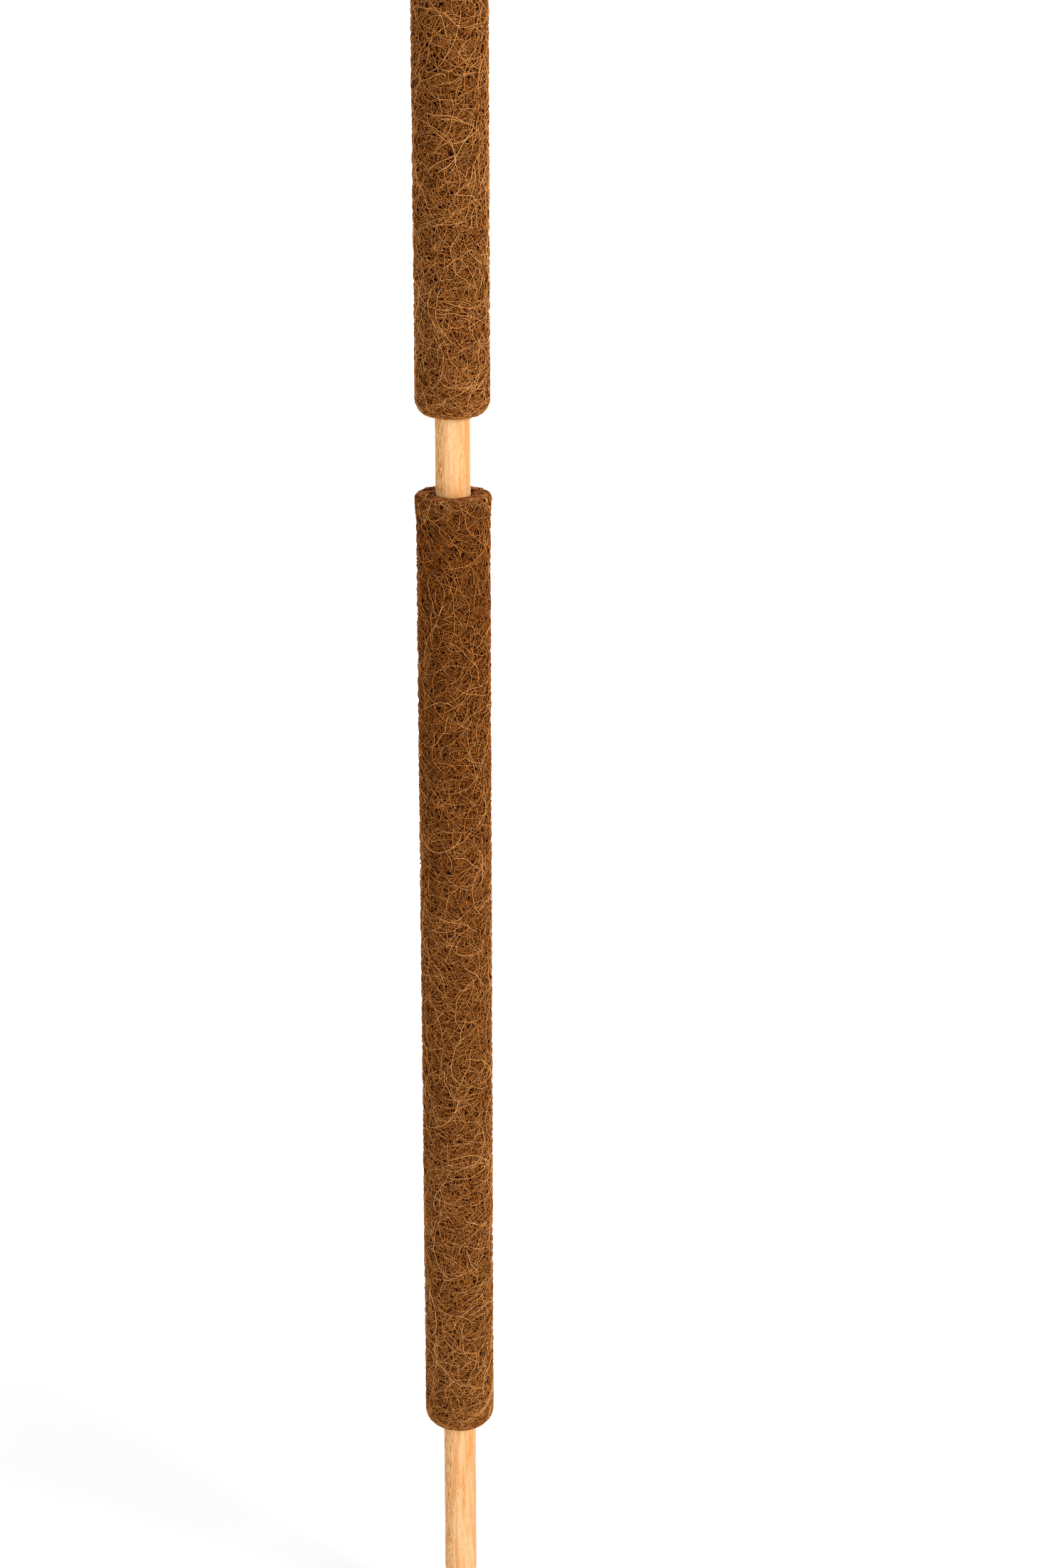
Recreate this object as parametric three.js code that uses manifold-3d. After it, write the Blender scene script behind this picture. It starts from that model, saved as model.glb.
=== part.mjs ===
// Moss pole in two equal stacking sections. Each section is a pointed wooden stake nailed into the foot
// of a plastic core tube, with a felted coir sleeve round the tube. The tube's open top is a socket, and
// the upper section's stake slides down into the lower section's socket.
// Millimetres, +Z up. The origin is on the pole's axis at the soil line, under the lower sleeve's foot.
import * as THREE from "three";
import { mergeVertices } from "three/addons/utils/BufferGeometryUtils.js";
import Module from "manifold-3d";

// Wooden stake
const stakeDiameter = 17;
const stakeExposed = 125; // below the sleeve's foot, point included
const stakeSeat = 94; // inside the tube
const stakePointLength = 34;
const stakeTipDiameter = 5;
const stakeHeadChamfer = 1;

// Plastic core tube
const tubeWall = 1.8;

// Coir sleeve
const coirThickness = 7.1;
const coirLength = 510;
const coirRimRadius = 2.5; // outer edge of the cut rim
const coirFootRadius = 8; // outer edge of the tucked-in foot
const rimFlare = 0.7; // rim beyond the sleeve's side
const rimFlareLength = 16;
const mouthEdgeRadius = 1.5;
const mouthLip = 6; // coir above the tube's upper end
const footLip = 6; // coir below the tube's lower end

// Nails that hold the stake in the tube
const nailDiameter = 1.8;
const nailBite = 8; // into the stake
const nailPointLength = 3;
const nailHeadDiameter = 4.2;
const nailHeadThickness = 0.8;
const nailPlaces = [
  { alongSeat: 0.25, turn: 0 },
  { alongSeat: 0.75, turn: Math.PI },
];

// How far the upper section is drawn out of the lower one at rest
const restLift = 38;

// Clearances
const socketClearance = 0.3; // stake to tube
const mouthClearance = 0.4; // stake to the coir of the rim and the foot
const sleeveClearance = 0.3; // coir to tube, all round and at both ends
const nailClearance = 0.3; // round each nail and under its head
const seatClearance = 0.3; // upper foot to lower rim when pushed together

// Facets
const roundSides = 32;
const nailSides = 12;
const curveSteps = 4;
const weldTolerance = 1e-4;

// Places that follow from the sizes, in one section's own frame with its foot at height 0
const stakeRadius = stakeDiameter / 2;
const tubeBoreRadius = stakeRadius + socketClearance;
const tubeOuterRadius = tubeBoreRadius + tubeWall;
const sleeveBoreRadius = tubeOuterRadius + sleeveClearance;
const coirRadius = sleeveBoreRadius + coirThickness;
const lipBoreRadius = stakeRadius + mouthClearance;
const tubeFoot = footLip + sleeveClearance;
const tubeTop = coirLength - mouthLip - sleeveClearance;
const stakeTip = -stakeExposed;
const stakeHead = tubeFoot + stakeSeat;
const nailHeadSeat = tubeOuterRadius + nailClearance;
const nailTip = stakeRadius - nailBite;

const coirFinish = new THREE.MeshStandardMaterial({ color: 0x754623, roughness: 0.95, metalness: 0 });
const woodFinish = new THREE.MeshStandardMaterial({ color: 0xf3bf82, roughness: 0.7, metalness: 0 });
const tubeFinish = new THREE.MeshStandardMaterial({ color: 0x3b2a1e, roughness: 0.6, metalness: 0 });
const nailFinish = new THREE.MeshStandardMaterial({ color: 0xa9abad, roughness: 0.35, metalness: 1 });

const wasm = await Module();
wasm.setup();

function solidOf(geometry) {
  const bare = geometry.clone();
  bare.deleteAttribute("normal");
  bare.deleteAttribute("uv");
  const welded = mergeVertices(bare, weldTolerance);
  const vertProperties = new Float32Array(welded.attributes.position.array);
  const triVerts = new Uint32Array(welded.index.array);
  return new wasm.Manifold(new wasm.Mesh({ numProp: 3, vertProperties, triVerts }));
}

function geometryOf(solid) {
  const mesh = solid.getMesh();
  const geometry = new THREE.BufferGeometry();
  geometry.setAttribute("position", new THREE.BufferAttribute(mesh.vertProperties, 3));
  geometry.setIndex(new THREE.BufferAttribute(mesh.triVerts, 1));
  geometry.computeVertexNormals();
  return geometry;
}

function cut(geometry, tools) {
  let solid = solidOf(geometry);
  for (const tool of tools) {
    solid = solid.subtract(solidOf(tool));
  }
  return geometryOf(solid);
}

// Turns a profile of radius and height about the Z axis
function turned(path, sides) {
  const geometry = new THREE.LatheGeometry(path.getPoints(curveSteps), sides);
  geometry.rotateX(Math.PI / 2);
  return geometry;
}

// Lays a shape that stands on Z along a nail's radius, with its +Z pointing away from the pole's axis
function laidAsNail(geometry, place) {
  geometry.rotateY(Math.PI / 2);
  geometry.rotateZ(place.turn);
  geometry.translate(0, 0, tubeFoot + place.alongSeat * stakeSeat);
  return geometry;
}

// A round hole along a nail's radius, from one distance from the pole's axis to another
function nailHole(place, radius, start, end) {
  const hole = new THREE.CylinderGeometry(radius, radius, end - start, nailSides);
  hole.rotateX(Math.PI / 2);
  hole.translate(0, 0, (start + end) / 2);
  return laidAsNail(hole, place);
}

function stakeGeometry() {
  const tipRadius = stakeTipDiameter / 2;
  const profile = new THREE.Path();
  profile.moveTo(0, stakeTip);
  profile.quadraticCurveTo(tipRadius, stakeTip, tipRadius, stakeTip + tipRadius);
  profile.lineTo(stakeRadius, stakeTip + stakePointLength);
  profile.lineTo(stakeRadius, stakeHead - stakeHeadChamfer);
  profile.lineTo(stakeRadius - stakeHeadChamfer, stakeHead);
  profile.lineTo(0, stakeHead);
  const holeRadius = nailDiameter / 2 + nailClearance;
  const holes = nailPlaces.map((place) =>
    nailHole(place, holeRadius, nailTip - nailClearance, tubeOuterRadius),
  );
  return cut(turned(profile, roundSides), holes);
}

function tubeGeometry() {
  const profile = new THREE.Path();
  profile.moveTo(tubeBoreRadius, tubeFoot);
  profile.lineTo(tubeOuterRadius, tubeFoot);
  profile.lineTo(tubeOuterRadius, tubeTop);
  profile.lineTo(tubeBoreRadius, tubeTop);
  profile.lineTo(tubeBoreRadius, tubeFoot);
  const holeRadius = nailDiameter / 2 + nailClearance;
  const holes = nailPlaces.map((place) => nailHole(place, holeRadius, 0, coirRadius));
  return cut(turned(profile, roundSides), holes);
}

function sleeveGeometry() {
  const footCentre = coirRadius - coirFootRadius;
  const rimRadius = coirRadius + rimFlare;
  const rimCentre = rimRadius - coirRimRadius;
  const rimEdge = coirLength - coirRimRadius;
  const flareStart = coirLength - rimFlareLength;
  const flareMiddle = (flareStart + rimEdge) / 2;
  const mouthCentre = lipBoreRadius + mouthEdgeRadius;
  const profile = new THREE.Path();
  profile.moveTo(lipBoreRadius, 0);
  profile.lineTo(footCentre, 0);
  profile.absarc(footCentre, coirFootRadius, coirFootRadius, -Math.PI / 2, 0);
  profile.lineTo(coirRadius, flareStart);
  profile.bezierCurveTo(coirRadius, flareMiddle, rimRadius, flareMiddle, rimRadius, rimEdge);
  profile.absarc(rimCentre, rimEdge, coirRimRadius, 0, Math.PI / 2);
  profile.absarc(mouthCentre, coirLength - mouthEdgeRadius, mouthEdgeRadius, Math.PI / 2, Math.PI);
  profile.lineTo(lipBoreRadius, tubeTop + sleeveClearance);
  profile.lineTo(sleeveBoreRadius, tubeTop + sleeveClearance);
  profile.lineTo(sleeveBoreRadius, tubeFoot - sleeveClearance);
  profile.lineTo(lipBoreRadius, tubeFoot - sleeveClearance);
  profile.lineTo(lipBoreRadius, 0);
  const pocketRadius = nailHeadDiameter / 2 + nailClearance;
  const pocketEnd = nailHeadSeat + nailHeadThickness + nailClearance;
  const pockets = nailPlaces.map((place) => nailHole(place, pocketRadius, stakeRadius, pocketEnd));
  return cut(turned(profile, roundSides), pockets);
}

function nailGeometry(place) {
  const shankRadius = nailDiameter / 2;
  const headRadius = nailHeadDiameter / 2;
  const profile = new THREE.Path();
  profile.moveTo(0, nailTip);
  profile.lineTo(shankRadius, nailTip + nailPointLength);
  profile.lineTo(shankRadius, nailHeadSeat);
  profile.lineTo(headRadius, nailHeadSeat);
  profile.lineTo(headRadius, nailHeadSeat + nailHeadThickness);
  profile.lineTo(0, nailHeadSeat + nailHeadThickness);
  return laidAsNail(turned(profile, nailSides), place);
}

function piece(name, geometry, finish) {
  const mesh = new THREE.Mesh(geometry, finish);
  mesh.name = name;
  return mesh;
}

function makeSection(name) {
  const section = new THREE.Group();
  section.name = `${name}_section`;
  section.add(piece(`${name}_stake`, stakeGeometry(), woodFinish));
  section.add(piece(`${name}_core_tube`, tubeGeometry(), tubeFinish));
  section.add(piece(`${name}_coir_sleeve`, sleeveGeometry(), coirFinish));
  nailPlaces.forEach((place, index) => {
    section.add(piece(`${name}_stake_nail_${index + 1}`, nailGeometry(place), nailFinish));
  });
  return section;
}

const pole = new THREE.Group();
pole.name = "moss_pole";
const lowerSection = makeSection("lower");
const upperSection = makeSection("upper");
upperSection.position.z = coirLength + seatClearance + restLift;
pole.add(lowerSection, upperSection);

export default pole;
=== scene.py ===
import math

import bmesh
import bpy
import numpy as np
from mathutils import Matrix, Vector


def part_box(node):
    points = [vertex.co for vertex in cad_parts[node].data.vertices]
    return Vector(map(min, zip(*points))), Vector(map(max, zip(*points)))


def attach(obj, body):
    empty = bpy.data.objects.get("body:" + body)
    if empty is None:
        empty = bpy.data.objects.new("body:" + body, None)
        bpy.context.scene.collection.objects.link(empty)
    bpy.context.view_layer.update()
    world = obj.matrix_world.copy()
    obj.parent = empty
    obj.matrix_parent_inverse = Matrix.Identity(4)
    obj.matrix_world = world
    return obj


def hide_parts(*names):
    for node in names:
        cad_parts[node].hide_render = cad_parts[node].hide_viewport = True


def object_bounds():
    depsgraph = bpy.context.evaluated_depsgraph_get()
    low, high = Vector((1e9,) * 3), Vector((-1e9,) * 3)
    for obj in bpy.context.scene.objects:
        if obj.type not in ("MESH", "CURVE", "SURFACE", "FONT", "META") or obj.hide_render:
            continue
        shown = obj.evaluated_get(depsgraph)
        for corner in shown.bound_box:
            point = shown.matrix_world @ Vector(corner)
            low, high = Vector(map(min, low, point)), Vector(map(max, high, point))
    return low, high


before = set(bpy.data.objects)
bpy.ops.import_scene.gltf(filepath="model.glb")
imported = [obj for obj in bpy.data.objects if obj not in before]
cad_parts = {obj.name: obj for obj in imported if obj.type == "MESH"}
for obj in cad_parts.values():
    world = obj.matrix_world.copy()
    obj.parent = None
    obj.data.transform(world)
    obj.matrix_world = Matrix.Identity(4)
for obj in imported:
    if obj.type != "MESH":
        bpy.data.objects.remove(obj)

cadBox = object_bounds()
scene = bpy.context.scene
sections = ("lower", "upper")
whiteRays = ("Is Camera Ray", "Is Glossy Ray", "Is Transmission Ray")  # these see floor and world as white
print("frame loaded:", len(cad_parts), "CAD nodes")


# Shader helpers

def shade(red, green, blue):
    # an sRGB colour of 0 to 255 as the linear colour that a socket takes
    def linear(level):
        level = level / 255
        return level / 12.92 if level <= 0.04045 else ((level + 0.055) / 1.055) ** 2.4
    return (linear(red), linear(green), linear(blue), 1.0)


class Wire:
    # one output socket that Python's operators work on
    def __init__(self, finish, socket):
        self.finish = finish
        self.socket = socket

    def maths(self, operation, first, second):
        return self.finish.node("ShaderNodeMath", {"operation": operation}, {0: first, 1: second})

    def __add__(self, other):
        return self.maths("ADD", self, other)

    def __radd__(self, other):
        return self.maths("ADD", other, self)

    def __sub__(self, other):
        return self.maths("SUBTRACT", self, other)

    def __rsub__(self, other):
        return self.maths("SUBTRACT", other, self)

    def __mul__(self, other):
        return self.maths("MULTIPLY", self, other)

    def __rmul__(self, other):
        return self.maths("MULTIPLY", other, self)


class Finish:
    # one material and its nodes
    def __init__(self, name):
        self.material = bpy.data.materials.new(name)
        self.material.use_nodes = True
        self.tree = self.material.node_tree
        self.shader = self.tree.nodes["Principled BSDF"]

    def feed(self, socket, value):
        if isinstance(value, Wire):
            self.tree.links.new(value.socket, socket)
        else:
            socket.default_value = value

    def node(self, kind, settings=None, sockets=None, output=0):
        made = self.tree.nodes.new(kind)
        for key, value in (settings or {}).items():
            setattr(made, key, value)
        for key, value in (sockets or {}).items():
            self.feed(made.inputs[key], value)
        return Wire(self, made.outputs[output])

    def mixed(self, factor, first, second):
        # 6, 7 and 2 are the colour sockets of a mix node
        return self.node("ShaderNodeMix", {"data_type": "RGBA"}, {0: factor, 6: first, 7: second}, 2)

    def ramp(self, value, low, high):
        # 0 below low, 1 above high, smooth between
        sockets = {"Value": value, "From Min": low, "From Max": high}
        return self.node("ShaderNodeMapRange", {"interpolation_type": "SMOOTHSTEP"}, sockets)

    def toned(self, level, stops):
        # the colour at a level between stops of a place and a colour
        made = self.node("ShaderNodeValToRGB", {}, {"Fac": level})
        elements = made.socket.node.color_ramp.elements
        while len(elements) < len(stops):
            elements.new(1.0)
        for element, (place, colour) in zip(elements, stops):
            element.position = place
            element.color = shade(*colour)
        return made

    def axis(self, vector, name):
        return self.node("ShaderNodeSeparateXYZ", {}, {"Vector": vector}, name)

    def places(self):
        return self.node("ShaderNodeTexCoord", {}, {}, "Object")

    def stretched(self, vector, stretch):
        return self.node("ShaderNodeMapping", {}, {"Vector": vector, "Scale": stretch})

    def noise(self, vector, scale, detail, rough):
        sockets = {"Vector": vector, "Scale": scale, "Detail": detail, "Roughness": rough}
        return self.node("ShaderNodeTexNoise", {}, sockets)

    def grain(self, stretch, *kind):
        # a noise that is fixed to the piece
        return self.noise(self.stretched(self.places(), stretch), *kind)

    def bump(self, height, depth):
        self.surface(Normal=self.node("ShaderNodeBump", {}, {"Height": height, "Distance": depth}))

    def surface(self, **sockets):
        for key, value in sockets.items():
            self.feed(self.shader.inputs[key.replace("_", " ")], value)


# Finishes. A noise is its scale, detail and roughness, and a grain has its stretch in front of them.
# A range is where a noise starts to show and where it shows in full. Colours are sRGB of 0 to 255.

coirFibre = {
    "stretch": (13, 40, 1),  # along a strand, and from tone to tone
    "streaks": (1.0, 3.0, 0.6),
    "streakMiddle": 0.45,
    "streakTone": 0.95,  # how far streaks move the tone
    "rootLength": 0.12,  # darker share of a strand at each end
    "rootTone": 0.12,
    "stops": [
        (0.0, (20, 2, 0)),
        (0.3, (82, 32, 3)),
        (0.55, (160, 91, 33)),
        (0.75, (229, 150, 76)),
        (1.0, (255, 206, 138)),
    ],
    "rough": 0.5,
    "streakRough": 0.25,
    "specular": 0.04,
}


def coirFibreFinish():
    # u runs along a strand and v is its tone, so each strand has one colour with its own streaks; v also
    # carries the painted shade down the strand's two sides
    look = Finish("coir fibre")
    strand = look.node("ShaderNodeUVMap", {"uv_map": "OFBake"})
    along, tone = look.axis(strand, "X"), look.axis(strand, "Y")
    streak = look.noise(look.stretched(strand, coirFibre["stretch"]), *coirFibre["streaks"])
    ends = (0, coirFibre["rootLength"])
    root = look.ramp(along, *ends) * look.ramp(1 - along, *ends)
    level = tone + (streak - coirFibre["streakMiddle"]) * coirFibre["streakTone"]
    level = level + (root - 1) * coirFibre["rootTone"]
    colour = look.toned(level, coirFibre["stops"])
    rough = coirFibre["rough"] + streak * coirFibre["streakRough"]
    look.surface(Base_Color=colour, Roughness=rough, Specular_IOR_Level=coirFibre["specular"])
    return look.material


coirMat = {
    "specks": ((1, 1, 1), 1400.0, 2.0, 0.5),
    "speckHeight": 0.3,
    "stretch": (0.16, 1, 1),  # along a strand and across it
    "strands": (540.0, 1.5, 0.45),
    "width": 0.031,
    "core": 0.35,  # share of the width in full colour
    "cover": 0.9,  # how far a strand hides what lies under it
    "sink": 0.85,  # share of the height that is left under the next layer
    "layers": [  # the turn of its strands and their colour, from the lowest layer up
        # the lower layers are darker: painted shade of depth
        ((0.3, 1.2, 0.4), (30, 5, 0)),
        ((1.9, 0.5, 2.2), (46, 11, 1)),
        ((0.9, 2.6, 1.1), (76, 27, 4)),
        ((2.7, 1.7, 0.2), (114, 55, 15)),
        ((1.2, 0.1, 2.9), (158, 90, 34)),
        ((0.1, 2.1, 1.7), (202, 130, 60)),
    ],
    # the near-black gaps between the mat's strands are painted shade
    "gapShade": (9, 1, 0),
    "rough": 0.75,
    "heightRough": 0.15,
    "specular": 0.03,
    "bump": 0.0005,
}


def coirMatFinish():
    # the matted coir under the strands: fine strands that cross in layers over near-black gaps; the
    # near-black gaps and the darker lower layers are painted shade
    look = Finish("coir mat")
    where = look.places()
    colour = shade(*coirMat["gapShade"])
    height = look.grain(*coirMat["specks"]) * coirMat["speckHeight"]
    for turn, tone in coirMat["layers"]:
        sockets = {"Vector": where, "Rotation": turn}
        turned = look.node("ShaderNodeMapping", {"vector_type": "TEXTURE"}, sockets)
        sockets = {"Vector": turned, "Location": turn, "Scale": coirMat["stretch"]}
        field = look.noise(look.node("ShaderNodeMapping", {}, sockets), *coirMat["strands"])
        off = look.node("ShaderNodeMath", {"operation": "ABSOLUTE"}, {0: field - 0.5})
        line = 1 - look.ramp(off, coirMat["width"] * coirMat["core"], coirMat["width"])
        colour = look.mixed(line * coirMat["cover"], colour, shade(*tone))
        sockets = {0: height * coirMat["sink"], 1: line}
        height = look.node("ShaderNodeMath", {"operation": "MAXIMUM"}, sockets)
    rough = coirMat["rough"] + height * coirMat["heightRough"]
    look.surface(Base_Color=colour, Roughness=rough, Specular_IOR_Level=coirMat["specular"])
    look.bump(height, coirMat["bump"])
    return look.material


stakeWood = {
    "grains": {
        "drift": ((1, 1, 0.25), 30.0, 2.0, 0.5),
        "fine": ((1, 1, 0.02), 1500.0, 3.0, 0.6),
        "broad": ((1, 1, 0.06), 380.0, 2.0, 0.5),
        "cloud": ((1, 1, 0.15), 130.0, 2.0, 0.5),
        "longPores": ((1, 1, 0.10), 1900.0, 2.0, 0.5),
        "shortPores": ((1, 1, 0.16), 2600.0, 2.0, 0.6),
        "flecks": ((1, 1, 0.3), 2300.0, 1.0, 0.5),
        "patches": ((1, 1, 0.2), 160.0, 1.0, 0.5),
    },
    "ranges": {
        "fine": (0.3, 0.7),
        "broad": (0.46, 0.66),
        "cloud": (0.48, 0.68),
        "longPores": (0.53, 0.60),
        "shortPores": (0.53, 0.60),
        "flecks": (0.56, 0.66),
        "patches": (0.42, 0.62),
    },
    "bandDrift": 0.0018,
    "bandOuter": (-0.0090, -0.0080),  # the range of x at the band's outer edge
    "bandInner": (0.0036, 0.0050),  # the range of -x at its inner edge
    "poreShares": {"longPores": (0.16, 0.66), "shortPores": (0.20, 0.34)},  # all over, and more in the band
    "ground": (228, 165, 98),
    "tints": {  # the most that shows of each, and its colour, from the lowest up
        "fine": (1.0, (252, 209, 155)),
        "broad": (0.70, (232, 152, 76)),
        "cloud": (0.6, (250, 208, 156)),
        # the band's lighter tint is painted light, against the shade on that side; its pores are the wood's
        # own
        "band": (0.75, (255, 202, 132)),
        "pores": (1.0, (192, 102, 30)),
        "flecks": (0.7, (212, 130, 54)),
    },
    "rough": 0.5,
    "fineRough": 0.2,
    "poreRough": 0.1,
    "specular": 0.25,
    "fineHeight": 0.4,  # against 1 for the depth of the pores
    "bump": 0.00012,
}


def woodFinish():
    # pale straight-grained wood, with a band down one side where its pores are open and where it is also
    # painted lighter, painted light against the shade on that side
    look = Finish("stake wood")
    grains = {name: look.grain(*kind) for name, kind in stakeWood["grains"].items()}
    shown = {name: look.ramp(grains[name], *limits) for name, limits in stakeWood["ranges"].items()}
    across = look.axis(look.places(), "X") + (grains["drift"] - 0.5) * stakeWood["bandDrift"]
    band = look.ramp(across, *stakeWood["bandOuter"]) * look.ramp(0 - across, *stakeWood["bandInner"])
    pores = 0
    for name, (everywhere, inBand) in stakeWood["poreShares"].items():
        pores = pores + shown[name] * (band * inBand + everywhere)
    shown.update(band=band, pores=pores, flecks=shown["flecks"] * shown["patches"])
    colour = shade(*stakeWood["ground"])
    for name, (share, tint) in stakeWood["tints"].items():
        colour = look.mixed(shown[name] * share, colour, shade(*tint))
    rough = stakeWood["rough"] + grains["fine"] * stakeWood["fineRough"] + pores * stakeWood["poreRough"]
    look.surface(Base_Color=colour, Roughness=rough, Specular_IOR_Level=stakeWood["specular"])
    look.bump(grains["fine"] * stakeWood["fineHeight"] - pores, stakeWood["bump"])
    return look.material


tubePlastic = {
    "lines": ((1, 1, 0.03), 700.0, 2.0, 0.5),
    "dust": ((1, 1, 1), 220.0, 4.0, 0.7),
    "dustRange": (0.4, 0.8),
    "clean": (44, 30, 20),
    "dusty": (74, 52, 34),
    "rough": 0.62,
    "lineRough": 0.25,
    "specular": 0.12,
    "bump": 0.00008,
}


def tubeFinish():
    # dull dark plastic with faint drawn lines
    look = Finish("core tube plastic")
    lines = look.grain(*tubePlastic["lines"])
    dust = look.ramp(look.grain(*tubePlastic["dust"]), *tubePlastic["dustRange"])
    colour = look.mixed(dust, shade(*tubePlastic["clean"]), shade(*tubePlastic["dusty"]))
    rough = tubePlastic["rough"] + lines * tubePlastic["lineRough"]
    look.surface(Base_Color=colour, Roughness=rough, Specular_IOR_Level=tubePlastic["specular"])
    look.bump(lines, tubePlastic["bump"])
    return look.material


nailSteel = {
    "drawn": ((0.05, 1, 1), 2600.0, 2.0, 0.5),
    "spots": ((1, 1, 1), 900.0, 3.0, 0.5),
    "spotRange": (0.58, 0.7),
    "spotShare": 0.6,
    "bright": (176, 178, 180),
    "dull": (110, 96, 84),
    "rough": 0.28,
    "drawnRough": 0.15,
    "spotRough": 0.3,
    "bump": 0.00004,
}


def nailFinish():
    # drawn steel wire with a few dull spots
    look = Finish("nail steel")
    drawn = look.grain(*nailSteel["drawn"])
    spots = look.ramp(look.grain(*nailSteel["spots"]), *nailSteel["spotRange"])
    dulled = spots * nailSteel["spotShare"]
    colour = look.mixed(dulled, shade(*nailSteel["bright"]), shade(*nailSteel["dull"]))
    rough = nailSteel["rough"] + drawn * nailSteel["drawnRough"] + spots * nailSteel["spotRough"]
    look.surface(Base_Color=colour, Roughness=rough, Metallic=1.0)
    look.bump(drawn, nailSteel["bump"])
    return look.material


paleFloor = {
    "grain": ((1, 1, 1), 40.0, 2.0, 0.5),
    "greys": ((238, 238, 238), (244, 244, 244)),
    "rough": 0.9,
    "glow": 1.25,
    "nearShare": 0.5,  # of the glow beside the pole, where its shadow lies
    "nearRange": (0.25, 1.2),  # from the pole's axis to where the glow is full
}


def floorFinish():
    # white to the camera, with enough plain surface left near the pole to take its shadow
    look = Finish("pale floor")
    first, second = paleFloor["greys"]
    colour = look.mixed(look.grain(*paleFloor["grain"]), shade(*first), shade(*second))
    look.surface(Base_Color=colour, Roughness=paleFloor["rough"])
    seen = 0
    for ray in whiteRays:
        seen = seen + look.node("ShaderNodeLightPath", {}, {}, ray)
    away = look.node("ShaderNodeVectorMath", {"operation": "LENGTH"}, {0: look.places()}, "Value")
    share = paleFloor["nearShare"] + look.ramp(away, *paleFloor["nearRange"]) * (1 - paleFloor["nearShare"])
    glow = look.node("ShaderNodeEmission", {}, {"Color": (1, 1, 1, 1), "Strength": paleFloor["glow"]})
    plain = Wire(look, look.shader.outputs["BSDF"])
    blend = look.node("ShaderNodeMixShader", {}, {0: seen * share, 1: plain, 2: glow})
    look.tree.links.new(blend.socket, look.tree.nodes["Material Output"].inputs["Surface"])
    return look.material


finishes = {
    "fibre": coirFibreFinish(),
    "mat": coirMatFinish(),
    "wood": woodFinish(),
    "tube": tubeFinish(),
    "nail": nailFinish(),
    "floor": floorFinish(),
}
print("finishes made:", len(finishes))


# Modelling helpers

modelling = {
    "flatness": 1e-6,  # how far the corners of a flat face may lie from its height
    "longEdge": 0.02,  # an edge that climbs further than this is cut into rows
    "smoothAngle": 35,
}


def deselectAll():
    if bpy.context.mode != "OBJECT":
        bpy.ops.object.mode_set(mode="OBJECT")
    bpy.ops.object.select_all(action="DESELECT")


def addCylinder(name, radius, low, high, sides, caps="NGON"):
    deselectAll()
    bpy.ops.mesh.primitive_cylinder_add(
        vertices=sides, radius=radius, depth=high - low,
        end_fill_type=caps, location=(0, 0, (low + high) / 2))
    piece = bpy.context.active_object
    piece.name = name
    piece.data.name = name
    bpy.ops.object.transform_apply(location=True, rotation=True, scale=True)
    return piece


def pick(piece, kind, test):
    # selects in edit mode the verts, edges or faces that pass the test
    bpy.ops.mesh.select_mode(type={"verts": "VERT", "edges": "EDGE", "faces": "FACE"}[kind])
    bpy.ops.mesh.select_all(action="DESELECT")
    shape = bmesh.from_edit_mesh(piece.data)
    for part in getattr(shape, kind):
        if test(part):
            part.select_set(True)
    shape.select_flush_mode()
    bmesh.update_edit_mesh(piece.data)


def isFlatAt(height):
    return lambda part: all(abs(vert.co.z - height) < modelling["flatness"] for vert in part.verts)


def isLong(edge):
    first, second = edge.verts
    return abs(first.co.z - second.co.z) > modelling["longEdge"]


def widen(spread, height):
    bpy.ops.transform.resize(value=(spread, spread, 1), center_override=(0, 0, height))


def extrude(start, end, spread):
    # draws the picked faces from one height to another and widens them there
    bpy.ops.mesh.extrude_region_move(TRANSFORM_OT_translate={"value": (0, 0, end - start)})
    widen(spread, end)


def cutRows(piece, cuts):
    pick(piece, "edges", isLong)
    bpy.ops.mesh.subdivide(number_cuts=cuts)


def endEdit():
    bpy.ops.mesh.select_all(action="SELECT")
    bpy.ops.mesh.normals_make_consistent(inside=False)
    bpy.ops.object.mode_set(mode="OBJECT")


def addModifier(piece, kind, **settings):
    deselectAll()
    bpy.context.view_layer.objects.active = piece
    piece.select_set(True)
    added = piece.modifiers.new(kind.lower(), kind)
    for key, value in settings.items():
        setattr(added, key, value)
    bpy.ops.object.modifier_apply(modifier=added.name)


def roughen(piece, name, size, depth, strength, middle):
    texture = bpy.data.textures.new(name, "CLOUDS")
    texture.noise_scale = size
    texture.noise_depth = depth
    addModifier(piece, "DISPLACE", texture=texture, strength=strength, mid_level=middle)


def dress(piece, finish, section, slot, *nodes):
    piece.data.materials.clear()
    piece.data.materials.append(finishes[finish])
    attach(piece, section + "_section")
    if nodes:
        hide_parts(*nodes)


# Coir sleeve: the outline that its mat and strands follow

sleeve = {
    "rimEdge": 0.0025,  # rounding of the outer edge at the rim
    "footEdge": 0.008,
    "flare": 0.0007,  # rim beyond the side
    "flareLength": 0.016,
    "flareSteps": 10,
    "mouthEdge": 0.0015,
    "mouthDepth": 0.0055,  # how far strands line the socket's mouth
    "lipGap": 0.0004,  # coir to stake
    "arcSteps": 12,
    "outlineStep": 0.0002,
    "rimReach": 0.004,  # below the rounded rim, for strands of the rim
    "footReach": 0.010,  # above the rounded foot, for strands of the foot
    "footStop": 0.001,  # where these end, short of the stake
}


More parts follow.
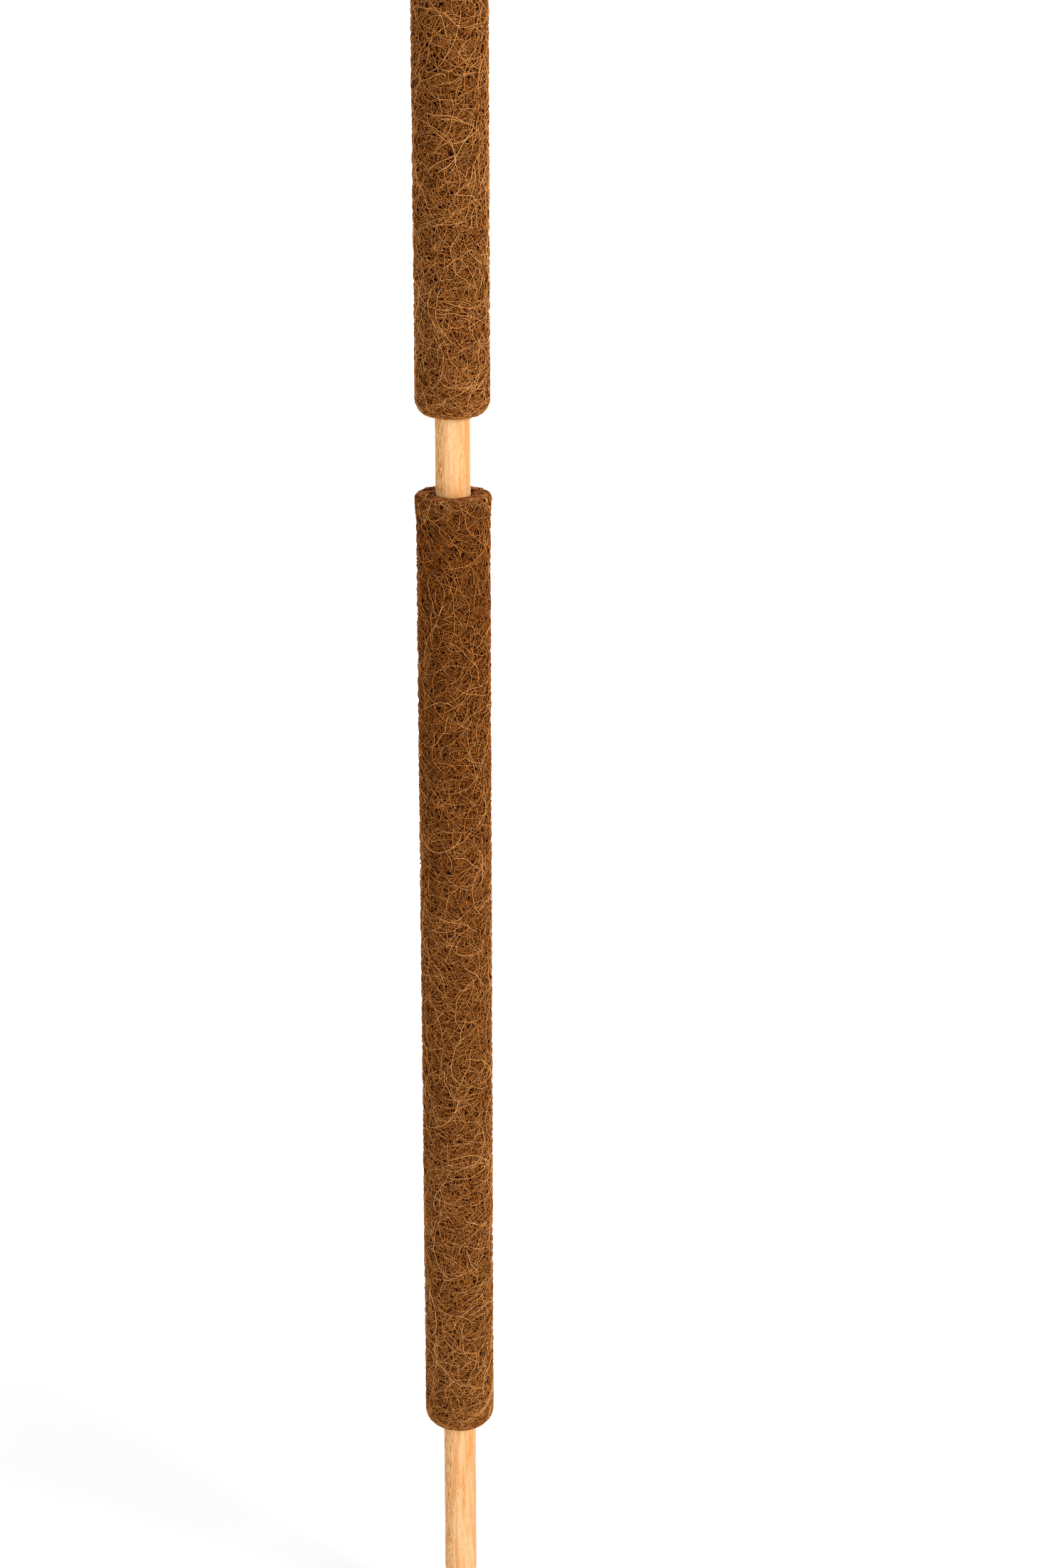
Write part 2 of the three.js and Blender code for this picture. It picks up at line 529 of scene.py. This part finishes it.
def sleeveSizes(section):
    low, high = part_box(section + "_coir_sleeve")
    stakeLow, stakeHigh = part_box(section + "_stake")
    tubeLow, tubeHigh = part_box(section + "_core_tube")
    return {
        "radius": (high.x - low.x) / 2 - sleeve["flare"],
        "foot": low.z,
        "top": high.z,
        "lip": (stakeHigh.x - stakeLow.x) / 2 + sleeve["lipGap"],
        "bore": (tubeHigh.x - tubeLow.x) / 2 + sleeve["lipGap"],
        "tubeFoot": tubeLow.z,
        "tubeTop": tubeHigh.z,
    }


def arc(centre, middle, radius, start, end):
    turns = np.radians(np.linspace(start, end, sleeve["arcSteps"]))
    return [(centre + radius * math.cos(t), middle + radius * math.sin(t)) for t in turns]


def sleeveProfile(size):
    # radius and height from inside the mouth, over the rim, down the side and in under the foot,
    # with the way out of the coir at each place
    rim, foot, mouth = sleeve["rimEdge"], sleeve["footEdge"], sleeve["mouthEdge"]
    inside = [(size["lip"], size["top"] - sleeve["mouthDepth"])]
    over = arc(size["lip"] + mouth, size["top"] - mouth, mouth, 180, 90)
    over += arc(size["radius"] + sleeve["flare"] - rim, size["top"] - rim, rim, 90, 0)
    down = []
    for share in np.linspace(0, 1, sleeve["flareSteps"]):
        ease = share * share * (3 - 2 * share)
        drop = rim + share * (sleeve["flareLength"] - rim)
        down.append((size["radius"] + sleeve["flare"] * (1 - ease), size["top"] - drop))
    under = arc(size["radius"] - foot, size["foot"] + foot, foot, 0, -90)
    corners = np.array(inside + over + down + under + [(size["lip"], size["foot"])])
    steps = np.hypot(*np.diff(corners, axis=0).T)
    walked = np.concatenate([[0], np.cumsum(steps)])
    along = np.arange(0, walked[-1], sleeve["outlineStep"])
    radius = np.interp(along, walked, corners[:, 0])
    height = np.interp(along, walked, corners[:, 1])
    outRadius, outHeight = -np.gradient(height, along), np.gradient(radius, along)
    norm = np.hypot(outRadius, outHeight)
    rimEnd = walked[len(inside) + len(over)]
    footStart = walked[len(inside) + len(over) + len(down)]
    return {
        "along": along, "radius": radius, "height": height,
        "outRadius": outRadius / norm, "outHeight": outHeight / norm,
        "spans": {
            "all": (0, walked[-1]),
            "rim": (sleeve["mouthDepth"], rimEnd + sleeve["rimReach"]),
            "foot": (footStart - sleeve["footReach"], walked[-1] - sleeve["footStop"]),
        },
    }


# Coir mat: the uneven body under the strands

mat = {
    "depth": 0.0012,  # below the sleeve's outline
    "sides": 96,
    "rows": (18, 17),  # cuts in the long edges, then in each edge that these leave
    "edgeSteps": 6,
    "edgeSlack": 1e-5,  # edges this close to the side are rounded
    "footFlat": 0.0005,  # between the rounded foot and the stake's hole
    "flareDrops": (0.005, 0.010),  # the rim is widened from the top down to each of these
    "flareStart": 0.003,  # out from the mouth
    "lumps": {"size": 0.009, "depth": 2, "strength": 0.0006, "middle": 0.5},
    "tangle": {"size": 0.0022, "depth": 2, "strength": 0.0005, "middle": 0.5},
}


def makeMat(section):
    size = sleeveSizes(section)
    depth = mat["depth"]
    radius = size["radius"] - depth
    low, high = size["foot"] + depth, size["top"] - depth
    lip = size["lip"] + depth / 2
    piece = addCylinder(section + "_coir_mat", radius, low, high, mat["sides"])
    bpy.ops.object.mode_set(mode="EDIT")
    for end, inside in ((high, size["tubeTop"]), (low, size["tubeFoot"])):
        pick(piece, "faces", isFlatAt(end))
        bpy.ops.mesh.inset(thickness=radius - lip)
        extrude(end, inside, size["bore"] / lip)
    pick(piece, "faces", lambda face: len(face.verts) > 4)
    bpy.ops.mesh.delete(type="ONLY_FACE")
    pick(piece, "edges", lambda edge: edge.is_boundary)
    bpy.ops.mesh.bridge_edge_loops()
    outside = radius - mat["edgeSlack"]
    rounding = {low: radius - lip - mat["footFlat"], high: sleeve["rimEdge"] - depth / 2}
    for end, offset in rounding.items():
        pick(piece, "edges", lambda edge: isFlatAt(end)(edge)
             and all(vert.co.xy.length > outside for vert in edge.verts))
        bpy.ops.mesh.bevel(offset=offset, segments=mat["edgeSteps"], affect="EDGES")
    for cuts in mat["rows"]:
        cutRows(piece, cuts)
    flareStart = lip + mat["flareStart"]
    for drop in mat["flareDrops"]:
        pick(piece, "verts", lambda vert: vert.co.z > high - drop and vert.co.xy.length > flareStart)
        widen(1 + sleeve["flare"] / size["radius"] / len(mat["flareDrops"]), high)
    endEdit()
    for name in ("lumps", "tangle"):
        roughen(piece, f"{section} coir {name}", **mat[name])
    bpy.ops.object.shade_smooth()
    dress(piece, "mat", section, "coir", section + "_coir_sleeve")


# Coir strands, laid over the mat in layers. Depth is measured down from the sleeve's outline, around
# under 1 lays strands more round the pole than along it, and bend is the spread of their turn in
# radians per metre.

strands = {
    "layers": {
        # the deeper layers take lower tones: painted shade among the strands
        "under": {
            "count": 5600, "points": 5, "length": (0.005, 0.010), "radius": 0.00021, "span": "all",
            "depth": (0.0007, 0.0011), "tone": (0.54, 0.74), "around": 0.72, "bend": 160,
        },
        "middle_1": {
            "count": 5600, "points": 6, "length": (0.006, 0.012), "radius": 0.00023, "span": "all",
            "depth": (0.0004, 0.0008), "tone": (0.56, 0.77), "around": 0.72, "bend": 150,
        },
        "middle_2": {
            "count": 5600, "points": 6, "length": (0.006, 0.012), "radius": 0.00023, "span": "all",
            "depth": (0.00025, 0.00065), "tone": (0.57, 0.80), "around": 0.72, "bend": 150,
        },
        "middle_3": {
            "count": 3900, "points": 8, "length": (0.009, 0.018), "radius": 0.00024, "span": "all",
            "depth": (0.0001, 0.0005), "tone": (0.60, 0.88), "around": 0.72, "bend": 95,
        },
        "outer": {
            "count": 760, "points": 17, "length": (0.016, 0.038), "radius": 0.00027, "span": "all",
            "depth": (0.0000, 0.00035), "tone": (0.72, 0.98), "around": 0.75, "bend": 48,
        },
        # the rim's strands are given high tones: painted light on the top of the rim
        "rim_ends": {
            "count": 560, "points": 7, "length": (0.005, 0.012), "radius": 0.00019, "span": "rim",
            "depth": (-0.0001, 0.0006), "tone": (0.54, 1.14), "around": 1.0, "bend": 100,
        },
        # the foot's strands take lower tones: painted shade on the rounded foot
        "foot_wraps": {
            "count": 700, "points": 9, "length": (0.010, 0.028), "radius": 0.00021, "span": "foot",
            "depth": (-0.0001, 0.0004), "tone": (0.30, 0.86), "around": 0.35, "bend": 30,
        },
    },
    "curl": (0.35, 1.5),  # share of a layer's bend that a strand takes, to either side
    "thickness": (0.60, 1.20),  # share of a layer's radius
    "endTaper": 0.5,  # share of a strand's radius at its ends
    "wave": (0.04, 0.30),  # radians of swing
    "waveLength": (0.007, 0.020),
    "weave": (0.0002, 0.0005),  # how far a strand rises and sinks among the others
    "weaveLength": (0.005, 0.011),
    "dive": 0.0011,  # how deep the ends go into the mat
    "diveLength": 0.0030,
    "sideFacing": 0.35,  # places that face out less, on rim, mouth and foot, keep strands a radius deep
    # the last stop lowers the tone under the foot, by the stake: painted shade
    "lengthTones": [(0.0, -0.10), (0.45, 0.02), (0.97, 0.09), (1.0, 0.0)],  # from the mouth to the foot
    "mouthShade": [(0.0, 0.55), (0.0055, 0.45), (0.0072, 0.0)],  # darker inside the socket's mouth
    "toneRange": (0.1, 1.0),
    # painted shade: each strand is darker down its two sides than along its outer ridge, which reads as a
    # painted highlight on the ridge
    "sideShadeDrops": (0.0, 0.90, 0.81),  # how much darker a strand is at its outer ridge and its two sides
    "darkest": 0.01,
    "endMap": 0.005,  # share of the map's length that an end face takes
    "seed": {"lower": 11, "upper": 29},
    "evenSteps": (0.7548777, 0.5698403),  # spreads the strands evenly over the sleeve
}


def layStrands(profile, layer, rng):
    # lines that wander over the sleeve's outline, the way out at each of their points, and each line's
    # radius and tone
    along = profile["along"]
    count, points = layer["count"], layer["points"]
    first, last = profile["spans"][layer["span"]]
    length = rng.uniform(*layer["length"], count)
    spread = np.arange(count)[:, None] * strands["evenSteps"] + rng.uniform(size=2)
    turn, place = (spread % 1).T
    turn = math.tau * turn
    place = first + (last - first) * place
    lean = rng.uniform(0, math.tau, count)
    heading = np.arctan2(layer["around"] * np.sin(lean), np.cos(lean))
    bend = layer["bend"] * rng.uniform(*strands["curl"], count) * rng.choice((-1, 1), count)
    swing = rng.uniform(*strands["wave"], count)
    waves = math.tau / rng.uniform(*strands["waveLength"], count)
    phase = rng.uniform(0, math.tau, count)
    deep = rng.uniform(*layer["depth"], count)
    thick = layer["radius"] * rng.uniform(*strands["thickness"], count)
    weave = rng.uniform(*strands["weave"], count)
    weaves = math.tau / rng.uniform(*strands["weaveLength"], count)
    over = rng.uniform(0, math.tau, count)
    step = length / (points - 1)
    walked = np.linspace(0, 1, points)[None, :] * length[:, None]
    turns, places = np.empty((count, points)), np.empty((count, points))
    for index in range(points):
        turns[:, index], places[:, index] = turn, place
        way = heading + bend * walked[:, index] + swing * np.sin(waves * walked[:, index] + phase)
        turn = turn + np.cos(way) * step / np.interp(place, along, profile["radius"])
        place = np.clip(place + np.sin(way) * step, along[0], along[-1])
    ringOut = np.interp(places, along, profile["outRadius"])
    ringUp = np.interp(places, along, profile["outHeight"])
    toEnd = np.minimum(walked, length[:, None] - walked) / strands["diveLength"]
    sink = strands["dive"] * (1 - np.clip(toEnd, 0, 1)) ** 2
    sway = weave[:, None] * np.sin(weaves[:, None] * walked + over[:, None])
    shallowest = np.where(ringOut > strands["sideFacing"], 0, layer["radius"])
    deep = np.maximum(deep[:, None] + sway, shallowest) + sink
    ring = np.interp(places, along, profile["radius"]) - deep * ringOut
    level = np.interp(places, along, profile["height"]) - deep * ringUp
    line = np.stack([ring * np.cos(turns), ring * np.sin(turns), level], axis=-1)
    out = np.stack([ringOut * np.cos(turns), ringOut * np.sin(turns), ringUp], axis=-1)
    start = places[:, 0]
    tone = rng.uniform(*layer["tone"], count)
    tone += np.interp(start / along[-1], *zip(*strands["lengthTones"]))
    tone -= np.interp(start, *zip(*strands["mouthShade"]))
    return line, out, thick, np.clip(tone, *strands["toneRange"])


def tubesOf(line, out, thick):
    # three-sided closed tubes along the lines: corner places, four-cornered sides and the two end faces
    count, points = line.shape[:2]
    ahead = np.gradient(line, axis=1)
    ahead /= np.linalg.norm(ahead, axis=-1, keepdims=True)
    side = np.cross(ahead, out)
    side /= np.linalg.norm(side, axis=-1, keepdims=True)
    lift = np.cross(side, ahead)
    taper = np.ones(points)
    taper[[0, -1]] = strands["endTaper"]
    thin = (thick[:, None] * taper)[..., None]
    corners = []
    for corner in range(3):
        angle = math.pi / 2 + corner * math.tau / 3
        corners.append(line + thin * (math.cos(angle) * side + math.sin(angle) * lift))
    verts = np.stack(corners, axis=2)
    numbers = np.arange(count * points * 3).reshape(count, points, 3)
    following = np.roll(numbers, -1, axis=2)
    sides = np.stack([numbers[:, :-1], following[:, :-1], following[:, 1:], numbers[:, 1:]], axis=-1)
    ends = np.concatenate([numbers[:, 0, ::-1], numbers[:, -1, :]])
    return verts.reshape(-1, 3), sides.reshape(-1, 4), ends


def strandMap(count, points, tone):
    # u along each strand, v its tone, which falls from the outer ridge to the two lower edges: painted
    # shade down the sides, which leaves the ridge as a painted highlight
    tones = np.maximum(tone[:, None] - np.array(strands["sideShadeDrops"]), strands["darkest"])
    u = np.linspace(0, 1, points)
    sides = np.empty((count, points - 1, 3, 4, 2))
    sides[..., 0] = np.stack([u[:-1], u[:-1], u[1:], u[1:]], axis=-1)[None, :, None, :]
    for corner in range(3):
        beside = (corner + 1) % 3
        sides[:, :, corner, :, 1] = tones[:, None, [corner, beside, beside, corner]]
    ends = np.empty((2, count, 3, 2))
    ends[0, ..., 0] = [0, strands["endMap"], 0]
    ends[1, ..., 0] = [1, 1 - strands["endMap"], 1]
    ends[0, ..., 1] = tones[:, ::-1]
    ends[1, ..., 1] = tones
    return np.concatenate([sides.reshape(-1, 2), ends.reshape(-1, 2)])


def makeStrands(section):
    profile = sleeveProfile(sleeveSizes(section))
    rng = np.random.default_rng(strands["seed"][section])
    for name, layer in strands["layers"].items():
        line, out, thick, tone = layStrands(profile, layer, rng)
        verts, sides, ends = tubesOf(line, out, thick)
        mesh = bpy.data.meshes.new(f"{section}_coir_{name}")
        mesh.vertices.add(len(verts))
        mesh.vertices.foreach_set("co", verts.astype(np.float32).ravel())
        loops = np.concatenate([sides.ravel(), ends.ravel()]).astype(np.int32)
        starts = np.concatenate([np.arange(len(sides)) * 4, len(sides) * 4 + np.arange(len(ends)) * 3])
        mesh.loops.add(len(loops))
        mesh.loops.foreach_set("vertex_index", loops)
        mesh.polygons.add(len(sides) + len(ends))
        mesh.polygons.foreach_set("loop_start", starts.astype(np.int32))
        mesh.update(calc_edges=True)
        uv = mesh.uv_layers.new(name="OFBake")
        uv.uv.foreach_set("vector", strandMap(*line.shape[:2], tone).astype(np.float32).ravel())
        mesh.shade_smooth()
        piece = bpy.data.objects.new(mesh.name, mesh)
        scene.collection.objects.link(piece)
        dress(piece, "fibre", section, "coir")
        print("strands:", piece.name, len(sides) * 2 + len(ends), "triangles")


# Wooden stake

stake = {
    "sides": 64,
    "point": 0.034,
    "tip": 0.0025,  # radius of the blunt end
    "tipAngles": (25, 50, 72),  # rings of its rounding, in degrees
    "shoulder": 0.0012,  # easing where the point starts
    "shoulderSteps": 3,
    "headChamfer": 0.001,
    "headSteps": 2,
    "rows": 30,
    "wander": {"size": 0.03, "depth": 1, "strength": 0.00025, "middle": 0.6},
}


def makeStake(section):
    low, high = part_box(section + "_stake")
    radius = (high.x - low.x) / 2
    tip = stake["tip"]
    shoulder = low.z + stake["point"]
    piece = addCylinder(section + "_wood_stake", radius, shoulder, high.z, stake["sides"])
    bpy.ops.object.mode_set(mode="EDIT")
    pick(piece, "faces", isFlatAt(high.z))
    bpy.ops.mesh.bevel(offset=stake["headChamfer"], segments=stake["headSteps"], affect="EDGES")
    pick(piece, "faces", isFlatAt(shoulder))
    rings = [(low.z + tip, tip)]
    for angle in np.radians(stake["tipAngles"]):
        rings.append((low.z + tip * (1 - math.sin(angle)), tip * math.cos(angle)))
    level, width = shoulder, radius
    for height, wide in rings:
        extrude(level, height, wide / width)
        level, width = height, wide
    pick(piece, "edges", isFlatAt(shoulder))
    bpy.ops.mesh.bevel(offset=stake["shoulder"], segments=stake["shoulderSteps"], affect="EDGES")
    cutRows(piece, stake["rows"])
    endEdit()
    roughen(piece, section + " stake wander", **stake["wander"])
    bpy.ops.object.shade_smooth_by_angle(angle=math.radians(modelling["smoothAngle"]))
    dress(piece, "wood", section, "wood", section + "_stake")


# Core tube

tube = {"sides": 64, "wall": 0.0018, "edge": 0.0003, "edgeSteps": 2}


def makeTube(section):
    low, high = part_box(section + "_core_tube")
    radius = (high.x - low.x) / 2
    piece = addCylinder(section + "_tube", radius, low.z, high.z, tube["sides"], "NOTHING")
    addModifier(piece, "SOLIDIFY", thickness=tube["wall"], offset=-1)
    addModifier(piece, "BEVEL", width=tube["edge"], segments=tube["edgeSteps"], limit_method="ANGLE")
    bpy.ops.object.shade_smooth_by_angle(angle=math.radians(modelling["smoothAngle"]))
    dress(piece, "tube", section, "tube", section + "_core_tube")


for section in sections:
    makeMat(section)
    makeStrands(section)
    makeStake(section)
    makeTube(section)
    for number in (1, 2):
        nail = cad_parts[f"{section}_stake_nail_{number}"]
        nail.data.materials.clear()
        nail.data.materials.append(finishes["nail"])
    print("section made:", section)


# Floor, light and camera

stage = {
    "floorSize": 60.0,
    "floorGap": 0.001,  # below the lower stake's tip
    "worldStrength": 0.40,
    "lamps": {
        "key": {"place": (1.8, -1.3, 1.4), "aim": (0, 0, 0.45), "size": 0.7, "power": 42.0},
        "fill": {"place": (-1.0, -2.2, 0.7), "aim": (0, 0, 0.4), "size": 1.6, "power": 21.0},
        "back": {"place": (0.7, 2.3, 1.1), "aim": (0, 0, 0.4), "size": 1.6, "power": 27.0},
    },
}


def aimed(item, place, aim):
    item.location = place
    towards = [aim[axis] - place[axis] for axis in range(3)]
    flat = math.hypot(towards[0], towards[1])
    item.rotation_euler = (
        math.pi / 2 + math.atan2(towards[2], flat), 0, math.atan2(towards[1], towards[0]) - math.pi / 2)


def makeStage():
    deselectAll()
    floor = cadBox[0].z - stage["floorGap"]
    bpy.ops.mesh.primitive_plane_add(size=stage["floorSize"], location=(0, 0, floor))
    ground = bpy.context.active_object
    ground.name = "floor"
    ground.data.materials.append(finishes["floor"])
    for name, lamp in stage["lamps"].items():
        light = bpy.data.lights.new(name + " light", "AREA")
        light.size = lamp["size"]
        light.energy = lamp["power"]
        item = bpy.data.objects.new(name + " light", light)
        scene.collection.objects.link(item)
        aimed(item, lamp["place"], lamp["aim"])


def makeWorld():
    # white behind the object, a plain grey level of light on it
    world = bpy.data.worlds.new("white studio")
    scene.world = world
    world.use_nodes = True
    nodes, links = world.node_tree.nodes, world.node_tree.links
    lit, behind = nodes["Background"], nodes.new("ShaderNodeBackground")
    for background, strength in ((lit, stage["worldStrength"]), (behind, 1.0)):
        background.inputs["Color"].default_value = (1, 1, 1, 1)
        background.inputs["Strength"].default_value = strength
    path = nodes.new("ShaderNodeLightPath")
    seen = path.outputs[whiteRays[0]]
    for ray in whiteRays[1:]:
        either = nodes.new("ShaderNodeMath")
        either.operation = "MAXIMUM"
        links.new(seen, either.inputs[0])
        links.new(path.outputs[ray], either.inputs[1])
        seen = either.outputs[0]
    blend = nodes.new("ShaderNodeMixShader")
    links.new(seen, blend.inputs[0])
    links.new(lit.outputs[0], blend.inputs[1])
    links.new(behind.outputs[0], blend.inputs[2])
    links.new(blend.outputs[0], nodes["World Output"].inputs["Surface"])


camera = {
    "distance": 1.471,  # along the floor to the pole
    "height": 0.882,  # above the soil line
    "aside": 0.0325,  # the pole stands left of the frame's middle
    "lookDown": 19.5,
    "lens": 71.96,
    "sensor": 36.0,  # along the frame's long side
}


def makeCamera():
    eye = bpy.data.cameras.new("photo camera")
    eye.sensor_fit = "AUTO"
    eye.sensor_width = camera["sensor"]
    eye.lens = camera["lens"]
    item = bpy.data.objects.new("photo camera", eye)
    scene.collection.objects.link(item)
    item.location = (camera["aside"], -camera["distance"], camera["height"])
    item.rotation_euler = (math.radians(90 - camera["lookDown"]), 0, 0)
    scene.camera = item


makeStage()
makeWorld()
makeCamera()
scene.view_settings.view_transform = "Standard"
print("stage, light and camera set")
